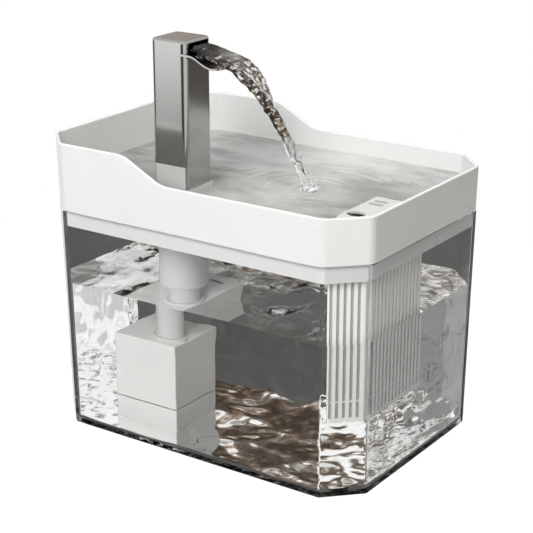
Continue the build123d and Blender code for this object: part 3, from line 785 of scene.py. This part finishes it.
@dataclass
class TrayWater(Pool):
    """The shallow water in the tray, with rings that run out from where the stream lands.

    Attributes:
        rings: how close the rings lie, in radians per metre.
        ring_reach: how far out they have sunk to a third.
        mound: radius of the mound that the stream throws up.
        gap: how far the water stays off the tap and the drain cover.
        cover_tip: front corner of the drain cover.
        cover_left: how far forward its left side comes.
        cover_right: how far forward its right side comes.
    """

    surface: float = 153.4 * MM
    floor: float = 141.8 * MM
    half_x: float = 108.35 * MM
    half_y: float = 77.35 * MM
    leg: float = 18.4 * MM
    step: float = 1.25 * MM
    rings: float = 350.0
    ring_reach: float = 50.0 * MM
    mound: float = 6.0 * MM
    gap: float = 0.03 * MM
    cover_tip: Span = (87.6 * MM, -72.0 * MM)
    cover_left: float = -37.0 * MM
    cover_right: float = -56.2 * MM

    def wave(self, x: float, y: float) -> float:
        """Height of the surface above its level at a place."""
        away = math.hypot(x - LANDING[0], y - LANDING[1])
        wander = noise.noise(Vector((x * 30, y * 30, 2.0)))
        ring = math.sin(away * self.rings + wander * 3.5) * math.exp(-away / self.ring_reach) * 0.18
        drift = noise.noise(Vector((x * 20, y * 34, 9.0))) * 0.45
        chop = noise.noise(Vector((x * 55, y * 95, 4.0))) * 0.05
        raised = math.exp(-((away / self.mound) ** 2)) * 0.9
        return (ring + drift + chop + raised) * MM

    def build(self) -> None:
        """Makes the water, with holes for the tap and the drain cover. It rides on the tray."""
        mesh = self.sheet()
        low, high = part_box("tap_column")
        left, right = low.x - self.gap, high.x + self.gap
        front, back = low.y - self.gap, high.y + self.gap
        punch(mesh, [(left, front), (right, front), (right, back), (left, back)])
        low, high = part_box("drain_cover")
        left, right, back = low.x - self.gap, high.x + self.gap, high.y + self.gap
        front_corners = [(self.cover_tip[0], self.cover_tip[1] - self.gap), (right, self.cover_right)]
        punch(mesh, [*front_corners, (right, back), (left, back), (left, self.cover_left)])
        lowered = self.sink(mesh)
        for vert in mesh.verts:
            if vert not in lowered:
                vert.co.z += self.wave(vert.co.x, vert.co.y)
        bmesh.ops.recalc_face_normals(mesh, faces=mesh.faces)
        made = to_object(mesh, "tray_water", self.material, WET)
        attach(made, "tray")


@dataclass(frozen=True)
class Section:
    """One station of the stream: its middle, its width and its thickness, all in millimetres."""

    x: float
    y: float
    z: float
    width: float
    thick: float


@dataclass
class Stream:
    """The water that leaves the tap: a sheet on the tongue that draws in to a ropy stream.

    Attributes:
        material: its finish.
        sections: its stations, from the tap down.
        around: how many points each ring has.
        between: how many rings there are from one station to the next.
        free: the place from which it falls freely.
    """

    material: Material
    sections: tuple[Section, ...] = (
        Section(-33.0, -33.5, 234.6, 17.2, 3.6),
        Section(-26.0, -33.5, 234.8, 17.6, 4.0),
        Section(-19.0, -33.5, 234.6, 19.4, 4.6),
        Section(-12.0, -33.5, 232.9, 21.0, 5.0),
        Section(-5.0, -33.5, 230.9, 21.6, 5.4),
        Section(3.1, -33.4, 228.8, 21.4, 6.2),
        Section(10.3, -33.0, 224.4, 20.0, 7.4),
        Section(15.6, -32.2, 219.2, 18.4, 8.4),
        Section(19.4, -31.0, 212.9, 16.8, 8.8),
        Section(22.6, -29.2, 206.1, 15.0, 8.8),
        Section(25.2, -26.8, 199.1, 13.0, 8.4),
        Section(28.2, -23.6, 190.8, 11.0, 7.4),
        Section(30.6, -19.8, 182.2, 9.6, 6.6),
        Section(32.4, -15.6, 173.3, 8.4, 6.0),
        Section(33.8, -11.0, 164.7, 7.8, 5.4),
        Section(34.4, -7.4, 158.0, 8.0, 5.2),
        Section(34.5, -5.6, 153.6, 9.0, 5.6),
        Section(34.6, -4.8, 150.6, 8.0, 5.2),
    )
    around: int = 56
    between: int = 12
    free: float = 3.5

    def station(self, place: float) -> Section:
        """The section at a place along the stream, by a smooth curve through the given ones.

        Args:
            place: 0 at the first section, and one more at each that follows.

        Returns:
            The section there.
        """
        last = len(self.sections) - 1
        index = min(int(place), last - 1)
        share = place - index
        near = [self.sections[min(max(index + step, 0), last)] for step in (-1, 0, 1, 2)]

        def smooth(a: float, b: float, c: float, d: float) -> float:
            """Catmull-Rom value of one field."""
            bend, twist = 2 * a - 5 * b + 4 * c - d, 3 * b - a - 3 * c + d
            return 0.5 * (2 * b + (c - a) * share + bend * (share * share) + twist * share**3)

        return Section(*map(smooth, *map(astuple, near)))

    def axes(self, place: float) -> tuple[Vector, Vector]:
        """Which way is across the stream at a place, and which way is out of its face."""
        after = self.station(min(place + 0.05, len(self.sections) - 1.001))
        before = self.station(max(place - 0.05, 0.0))
        along = Vector((after.x - before.x, after.y - before.y, after.z - before.z)).normalized()
        across = Vector((0, 0, 1)).cross(along).normalized()
        return across, along.cross(across)

    def outline(self, unit: Vector, place: float, section: Section) -> Span:
        """Where a point of the unit ring goes at a place.

        Args:
            unit: the point.
            place: the place along the stream.
            section: the section there.

        Returns:
            How far across and how far out of the face it goes, in millimetres.
        """
        turn = math.atan2(unit.y, unit.x)
        east, north = math.cos(turn), math.sin(turn)
        rope = noise.noise(Vector((east * 1.6, north * 1.6, place * 0.55)))
        bead = noise.noise(Vector((east * 1.5 + 9, north * 1.5, place * 2.6)))
        fallen = min(1.0, max(0.0, place - self.free) / 2.5)
        waist = 1 - fallen * (0.42 - 0.78 * unit.x * unit.x)
        grown = waist * (1 + 0.26 * rope + 0.24 * bead * fallen)
        return unit.x * section.width / 2 * (1 + 0.12 * bead), unit.y * section.thick / 2 * grown

    def build(self) -> None:
        """Makes the stream by drawing one ring along its line. It rides on the tap."""
        mesh = bmesh.new()
        ridge = mesh.verts.layers.float.new("ridge")
        ring = bmesh.ops.create_circle(mesh, cap_ends=False, radius=1.0, segments=self.around)["verts"]
        edges = mesh.edges[:]
        shape = [vert.co.copy() for vert in ring]
        for number in range((len(self.sections) - 1) * self.between + 1):
            place = number / self.between
            section = self.station(place)
            across, outward = self.axes(place)
            if number:
                drawn = bmesh.ops.extrude_edge_only(mesh, edges=edges)["geom"]
                ring = [item for item in drawn if isinstance(item, bmesh.types.BMVert)]
                edges = [item for item in drawn if isinstance(item, bmesh.types.BMEdge)]
            middle = Vector((section.x, section.y, section.z)) * MM
            for vert, unit in zip(ring, shape):
                wide, thick = self.outline(unit, place, section)
                vert.co = middle + (across * wide + outward * thick) * MM
                vert[ridge] = unit.x * unit.x
        ends = [edge for edge in mesh.edges if edge.is_boundary]
        bmesh.ops.holes_fill(mesh, edges=ends, sides=0)
        bmesh.ops.recalc_face_normals(mesh, faces=mesh.faces)
        made = to_object(mesh, "water_stream", self.material, ROPED)
        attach(made, "tap")


@dataclass(frozen=True)
class Scatter:
    """How small balls of water lie round the place where the stream lands, in millimetres.

    Attributes:
        name: the name of the piece that they make.
        count: how many there are.
        reach: how near and how far out they lie.
        spread: below 1 more of them lie far out.
        lift: how low and how high they are in the middle.
        flat_at: how far out they would all be at the water's level.
        radius: the smallest and the largest.
    """

    name: str
    count: int
    reach: Span
    spread: float
    lift: Span
    flat_at: float
    radius: Span


@dataclass
class Splash:
    """The froth where the stream lands, and the drops that fly off it."""

    froth: Material
    water: Material
    height: float = 153.6 * MM
    bubbles: Scatter = Scatter("landing_froth", 46, (0.0, 5.2), 0.7, (-0.3, 2.6), 6.5, (0.35, 0.95))
    drops: Scatter = Scatter("flying_drops", 22, (4.5, 13.0), 1.0, (0.4, 9.0), 15.0, (0.3, 0.62))
    seed: int = 7

    def balls(self, scatter: Scatter, material: Material, chance: random.Random) -> None:
        """Makes one piece of many small balls, which rides on the tray.

        Args:
            scatter: how the balls lie.
            material: their finish.
            chance: what the random numbers are drawn from.
        """
        mesh = bmesh.new()
        near, far = scatter.reach
        for _ in range(scatter.count):
            angle = chance.uniform(0, math.tau)
            out = near + (far - near) * chance.uniform(0.0, 1.0) ** scatter.spread
            lift = chance.uniform(*scatter.lift) * (1 - out / scatter.flat_at)
            offset = Vector((math.cos(angle) * out, math.sin(angle) * out, lift)) * MM
            matrix = Matrix.Translation(Vector((*LANDING, self.height)) + offset)
            radius = chance.uniform(*scatter.radius) * MM
            bmesh.ops.create_icosphere(mesh, subdivisions=2, radius=radius, matrix=matrix)
        made = to_object(mesh, scatter.name, material)
        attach(made, "tray")

    def build(self) -> None:
        """Scatters the froth on the water and the drops round the foot of the stream."""
        chance = random.Random(self.seed)
        self.balls(self.bubbles, self.froth, chance)
        self.balls(self.drops, self.water, chance)


# ---- Sub-assemblies


@dataclass
class Assembly:
    """A sub-assembly of the fountain, built with the finishes of the palette."""

    palette: Palette


@dataclass
class Tank(Assembly):
    """The clear tank and its feet."""

    def build(self) -> None:
        """Builds the tank, its feet and its water."""
        paint = self.palette
        refine({"water_tank": paint.acrylic})
        refine({"tank_feet": paint.acrylic}, ROUND)
        TankWater(paint.still_water).build()


@dataclass
class Tray(Assembly):
    """The white tray with the sleeve for the riser below it."""

    def build(self) -> None:
        """Builds the tray, the sleeve and its seal, and the water in the tray."""
        paint = self.palette
        refine({"drinking_tray": paint.white, "riser_sleeve": paint.white}, ROUND)
        refine({"sleeve_seal": paint.rubber}, ROUND)
        TrayWater(paint.moving_water).build()
        Splash(paint.froth, paint.still_water).build()


@dataclass
class Tap(Assembly):
    """The steel column, its tongue and the stream that leaves it."""

    def build(self) -> None:
        """Builds the tap and its stream."""
        paint = self.palette
        refine({"tap_column": paint.steel, "tap_spout": paint.steel})
        refine({"tap_duct": paint.dark, "tap_gasket": paint.rubber}, ROUND)
        Stream(paint.falling_water).build()


@dataclass
class Filter(Assembly):
    """The basket in the corner, with the drain cover and the cartridge that stand in it."""

    def build(self) -> None:
        """Builds the basket, the drain cover and the cartridge."""
        paint = self.palette
        refine({
            "filter_basket": paint.chalk,
            "basket_foam": paint.filter_foam,
            "drain_cover": paint.shell,
            "cartridge_frame": paint.chalk,
            "filter_felt": paint.felt,
            "filter_carbon": paint.carbon,
        })


@dataclass
class Pump(Assembly):
    """The boxed pump: its shell, its motor, its impeller and the tube that rises from it."""

    def build(self) -> None:
        """Builds every piece of the pump."""
        paint = self.palette
        refine({
            "pump_cover": paint.chalk,
            "cover_grommet": paint.white,
            "pump_base": paint.chalk,
            "riser_tube": paint.white,
            "motor_housing": paint.dark,
            "stator_core": paint.laminated,
            "stator_windings": paint.copper,
            "pump_volute": paint.dark,
            "rotor_shaft": paint.ground,
            "shaft_bushes": paint.rubber,
            "cord_gland": paint.dark,
            "pump_prefilter": paint.foam,
            "suction_cups": paint.rubber,
            "impeller": paint.chalk,
            "rotor_magnet": paint.ferrite,
        })


# ---- Studio


@dataclass
class Studio:
    """Camera, floor, lamps and the room that shows in metal and water."""

    azimuth: float = 34.50
    elevation: float = 19.43
    distance: float = 0.9434
    target: Point = (0.0008, 0.0, 0.0983)
    focal_pixels: float = 1563.4
    fill_left: Colour = (0.23, 0.23, 0.23)
    fill_right: Colour = (0.21, 0.20, 0.18)
    fill_below: Colour = (0.36, 0.36, 0.35)
    fill_front: Colour = (0.90, 0.90, 0.89)
    floor_glow: float = 0.60
    key_turn: float = 10.0
    key_tilt: float = 37.0
    key_distance: float = 1.9
    key_power: float = 22.0

    def build(self) -> None:
        """Sets up the whole studio."""
        self.make_camera()
        self.make_world()
        self.make_floor()
        self.make_lamps()

    def make_camera(self) -> None:
        """Puts the camera at the viewing angle and shows colours as they are written."""
        bpy.context.scene.view_settings.view_transform = "Standard"
        turn, tilt = math.radians(self.azimuth), math.radians(self.elevation)
        flat = math.cos(tilt)
        back = Vector((math.sin(turn) * flat, -math.cos(turn) * flat, math.sin(tilt)))
        data = bpy.data.cameras.new("viewpoint")
        data.sensor_width = 36.0
        data.lens = self.focal_pixels / FRAME_PIXELS * data.sensor_width
        data.clip_start, data.clip_end = 0.01, 50.0
        camera = bpy.data.objects.new("viewpoint", data)
        camera.location = Vector(self.target) + back * self.distance
        camera.rotation_mode = "QUATERNION"
        camera.rotation_quaternion = (-back).to_track_quat("-Z", "Y")
        bpy.context.scene.collection.objects.link(camera)
        bpy.context.scene.camera = camera

    def make_world(self) -> None:
        """A white room whose darker, warmer end only metal and water show, and a soft fill."""
        world = bpy.data.worlds.new("white_room")
        bpy.context.scene.world = world
        graph = Graph(world)
        camera, glossy, refracted = (
            graph.ray(f"Is {name} Ray") for name in ("Camera", "Glossy", "Transmission")
        )
        towards = graph.node("ShaderNodeTexCoord", {}, "Generated")
        side, depth, height = (graph.axis(towards, number) for number in range(3))
        left = graph.blend(side, 0.14, -0.14)
        up = graph.blend(height, -0.02, 0.05)
        behind = graph.blend(depth, -0.12, 0.12)
        steep = graph.blend(height * height, 0.22, 0.42)
        overhead = self.room_overhead(graph, towards)
        through = self.room_through_water(graph, towards, left, up, behind, overhead)
        mirrored = self.room_in_metal(graph, towards, left, up, behind, height, side)
        seen = graph.mix(graph.mix(mirrored, through, refracted), overhead, steep)
        seen = graph.mix(seen, (1.0, 1.0, 1.0), camera)
        fill = graph.mix(self.fill_left, self.fill_right, graph.blend(side, -0.5, 0.7))
        fill = graph.mix(fill, self.fill_below, graph.blend(height, 0.05, -0.25) * refracted)
        fill = graph.mix(fill, self.fill_front, graph.blend(depth, -0.20, -0.72) * refracted)
        scattered = graph.ray("Diffuse Depth").over(0.5)
        shown = camera.larger(glossy).larger(refracted) * (1.0 - scattered)
        colour = graph.mix(fill, seen, shown)
        graph.finish(graph.node("ShaderNodeBackground", {"Color": colour, "Strength": 1.0}))

    def room_overhead(self, graph: Graph, towards: Wire) -> Wire:
        """What steep rays meet: white, or brown patches behind the deep water of the tank."""
        earth = (
            (0.40, (0.075, 0.060, 0.046)),
            (0.46, (0.33, 0.26, 0.20)),
            (0.49, (0.66, 0.61, 0.56)),
            (0.52, (1.0, 1.0, 1.0)),
        )
        bed = graph.ramp(earth, graph.grain(towards, 5.0, 3.0))
        skins = graph.ray("Transmission Depth")
        return graph.mix((0.94, 0.94, 0.94), bed, skins.over(2.5))

    def room_through_water(
        self, graph: Graph, towards: Wire, left: Wire, up: Wire, behind: Wire, overhead: Wire
    ) -> Wire:
        """The room as it shows through the tank and the stream.

        Args:
            graph: the world's graph.
            towards: the way the ray goes.
            left: 1 where that is to the left.
            up: 1 where it is upwards.
            behind: 1 where it is to the back.
            overhead: what steep rays meet.

        Returns:
            The colour.
        """
        blotch = graph.grain(towards, 6.0, 3.0)
        flattened = {"Vector": towards, "Scale": (6.0, 6.0, 30.0)}
        streak = graph.grain(graph.node("ShaderNodeMapping", flattened), 1.0)
        slab = graph.mix((0.050, 0.050, 0.049), (0.105, 0.105, 0.101), streak)
        pale = graph.mix((0.60, 0.60, 0.595), (1.0, 1.0, 1.0), graph.blend(streak, 0.3, 0.6))
        brown = (
            (0.38, (0.045, 0.030, 0.020)),
            (0.46, (0.14, 0.095, 0.065)),
            (0.52, (0.31, 0.235, 0.175)),
            (0.555, (0.90, 0.88, 0.86)),
            (0.62, (1.0, 1.0, 1.0)),
        )
        grey = ((0.40, (0.30, 0.295, 0.285)), (0.46, (0.66, 0.66, 0.655)), (0.54, (0.94, 0.94, 0.935)))
        dusk = ((0.42, (0.05, 0.042, 0.036)), (0.50, (0.30, 0.26, 0.22)), (0.56, (0.95, 0.94, 0.93)))
        mottle, silver, umber = (graph.ramp(stops, blotch) for stops in (brown, grey, dusk))
        back = graph.mix(graph.mix(pale, slab, left), graph.mix(silver, mottle, left), up)
        broken = graph.mix((0.07, 0.07, 0.068), overhead, graph.blend(streak, 0.36, 0.47))
        front = graph.mix(broken, graph.mix(silver, umber, left), up)
        return graph.mix(front, back, behind)

    def room_in_metal(
        self, graph: Graph, towards: Wire, left: Wire, up: Wire, behind: Wire, height: Wire, side: Wire
    ) -> Wire:
        """The room as the tap and the skin of the water mirror it.

        Args:
            graph: the world's graph.
            towards: the way the ray goes.
            left: 1 where that is to the left.
            up: 1 where it is upwards.
            behind: 1 where it is to the back.
            height: its vertical part.
            side: its part along X.

        Returns:
            The colour.
        """
        stops = (
            (0.0, (0.13, 0.13, 0.127)),
            (0.30, (0.20, 0.20, 0.196)),
            (0.55, (0.92, 0.92, 0.91)),
            (0.80, (1.60, 1.60, 1.60)),
            (1.0, (1.95, 1.95, 1.95)),
        )
        ramp = graph.ramp(stops, graph.blend(height, -0.29, -0.195, False))
        dark, window, ceiling = (0.10, 0.10, 0.098), (1.15, 1.15, 1.13), (1.2, 1.2, 1.2)
        front = graph.mix(ramp, dark, graph.blend(side, -0.47, -0.38))
        front = graph.mix(front, dark, graph.blend(side, -0.66, -0.76))
        front = graph.mix(front, window, graph.blend(side, 0.32, 0.52))
        front = graph.mix(front, ceiling, graph.blend(height, -0.05, 0.15))
        blotch = graph.grain(towards, 4.0, 3.0)
        warm = graph.mix((0.36, 0.30, 0.25), (0.72, 0.66, 0.61), graph.blend(blotch, 0.38, 0.62))
        high = graph.mix((0.80, 0.80, 0.79), warm, left)
        low = graph.mix((0.16, 0.15, 0.14), (0.95, 0.95, 0.94), left)
        return graph.mix(front, graph.mix(low, high, up), behind)

    def make_floor(self) -> None:
        """A pale floor that keeps the object's shadow."""
        mesh = bmesh.new()
        bmesh.ops.create_grid(mesh, x_segments=1, y_segments=1, size=6.0)
        material = bpy.data.materials.new("pale_floor")
        graph = Graph(material)
        lit = graph.node("ShaderNodeBsdfDiffuse", {"Color": (0.80, 0.80, 0.80)})
        shown = graph.ray("Is Camera Ray")
        white = {"Color": (1.0, 1.0, 1.0)}
        glow = graph.node("ShaderNodeEmission", {**white, "Strength": shown * self.floor_glow})
        near = graph.node("ShaderNodeAddShader", {0: lit, 1: glow})
        plain = graph.node("ShaderNodeEmission", {**white, "Strength": 1.0})
        here = graph.node("ShaderNodeTexCoord", {}, "Object")
        away = graph.node("ShaderNodeVectorMath", {0: here}, "Value", operation="LENGTH")
        far = graph.blend(away, 0.20, 0.46) * shown
        graph.finish(graph.node("ShaderNodeMixShader", {0: far, 1: near, 2: plain}))
        floor = to_object(mesh, "floor", material)
        floor.visible_glossy = False
        floor.visible_transmission = False

    def make_lamps(self) -> None:
        """A broad key from the front, a little to the right, and weak lamps above and behind."""
        turn, tilt = math.radians(self.key_turn), math.radians(self.key_tilt)
        flat = self.key_distance * math.cos(tilt)
        place = (flat * math.sin(turn), -flat * math.cos(turn), self.key_distance * math.sin(tilt))
        self.lamp("key", place, 0.8, self.key_power)
        self.lamp("top", (-0.10, 0.10, 1.60), 1.0, 5.0)
        self.lamp("bowl", (0.10, -0.07, 0.55), 0.12, 0.7)
        self.lamp("rim", (-0.50, 0.50, 0.80), 0.3, 0.9)

    def lamp(self, name: str, place: Point, size: float, power: float) -> None:
        """Adds a square area lamp that faces the object.

        Args:
            name: its name.
            place: where it hangs.
            size: its side.
            power: its power in watts.
        """
        data = bpy.data.lights.new(name, "AREA")
        data.shape = "SQUARE"
        data.size = size
        data.energy = power
        made = bpy.data.objects.new(name, data)
        made.location = place
        made.rotation_mode = "QUATERNION"
        made.rotation_quaternion = (Vector((0, 0, 0.10)) - Vector(place)).to_track_quat("-Z", "Y")
        made.visible_glossy = False
        made.visible_transmission = False
        bpy.context.scene.collection.objects.link(made)


# ---- Fountain


def main() -> None:
    """Builds the studio and every sub-assembly in order."""
    logging.basicConfig(level=logging.INFO, format="%(name)s: %(message)s")
    Studio().build()
    palette = Palette()
    for assembly in (Tank, Tray, Tap, Filter, Pump):
        assembly(palette).build()


if __name__ == "__main__":
    main()
